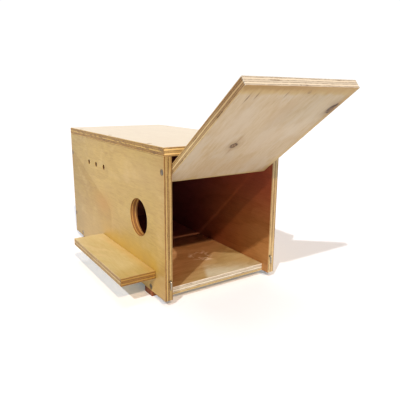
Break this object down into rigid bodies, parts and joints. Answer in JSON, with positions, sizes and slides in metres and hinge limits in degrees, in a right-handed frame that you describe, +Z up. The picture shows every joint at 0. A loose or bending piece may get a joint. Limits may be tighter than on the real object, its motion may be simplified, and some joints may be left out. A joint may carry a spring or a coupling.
{
  "type": "nesting box",
  "caption": "Long plywood nesting box with a round entrance hole, vent holes and a landing board on one side, and an end hatch that swings up and is held shut by turning hooks.",
  "frame": {"origin": "centre of the footprint of the whole object with the hatch open as stored, on the ground plane under the battens", "axes": "+X towards the hatch end, along the box; +Y away from the landing board, across the box; +Z up"},
  "size_m": [0.53, 0.253, 0.3074],
  "materials": {
    "birch_plywood": "clear-varnished knotty softwood-faced plywood, warm honey colour, satin, five plies showing on every edge",
    "pale_plywood": "sanded, almost bare plywood, paler and pinker than the rest, with small knots",
    "hardwood": "reddish-brown sawn hardwood",
    "zinc_steel": "dull zinc-plated steel screws",
    "hook_steel": "yellow-zinc-plated bent steel wire, slightly tarnished"
  },
  "bodies": {
    "box": {"entrance_wall": "birch_plywood", "rear_wall": "birch_plywood", "end_panel": "birch_plywood", "floor_panel": "birch_plywood", "roof_panel": "birch_plywood", "landing_board": "birch_plywood", "front_batten": "hardwood", "rear_batten": "hardwood", "end_screw_left_upper": "zinc_steel", "end_screw_left_lower": "zinc_steel", "end_screw_right_upper": "zinc_steel", "end_screw_right_lower": "zinc_steel", "floor_screw_left_front": "zinc_steel", "floor_screw_left_middle": "zinc_steel", "floor_screw_left_rear": "zinc_steel", "floor_screw_right_front": "zinc_steel", "floor_screw_right_middle": "zinc_steel", "floor_screw_right_rear": "zinc_steel", "roof_screw_left_front": "zinc_steel", "roof_screw_left_middle": "zinc_steel", "roof_screw_left_rear": "zinc_steel", "roof_screw_right_front": "zinc_steel", "roof_screw_right_middle": "zinc_steel", "roof_screw_right_rear": "zinc_steel", "landing_board_screw_front": "zinc_steel", "landing_board_screw_rear": "zinc_steel", "batten_screw_front_left": "zinc_steel", "batten_screw_front_right": "zinc_steel", "batten_screw_rear_left": "zinc_steel", "batten_screw_rear_right": "zinc_steel"},
    "hatch": {"hatch_panel": "pale_plywood", "pivot_screw_left": "zinc_steel", "pivot_screw_right": "zinc_steel"},
    "left_hook": {"hook_left": "hook_steel"},
    "right_hook": {"hook_right": "hook_steel"}
  },
  "joints": [
    {"name": "hatch_hinge", "type": "hinge", "parent": "box", "child": "hatch", "pos_m": [0.11459, 0.0265, 0.19], "axis": [0, -1, 0], "range_deg": [-127.5, 19]},
    {"name": "left_hook_turn", "type": "hinge", "parent": "box", "child": "left_hook", "pos_m": [0.12339, -0.0653, 0.0375], "axis": [1, 0, 0], "range_deg": [0, 90]},
    {"name": "right_hook_turn", "type": "hinge", "parent": "box", "child": "right_hook", "pos_m": [0.12339, 0.1183, 0.0375], "axis": [-1, 0, 0], "range_deg": [0, 90]}
  ]
}
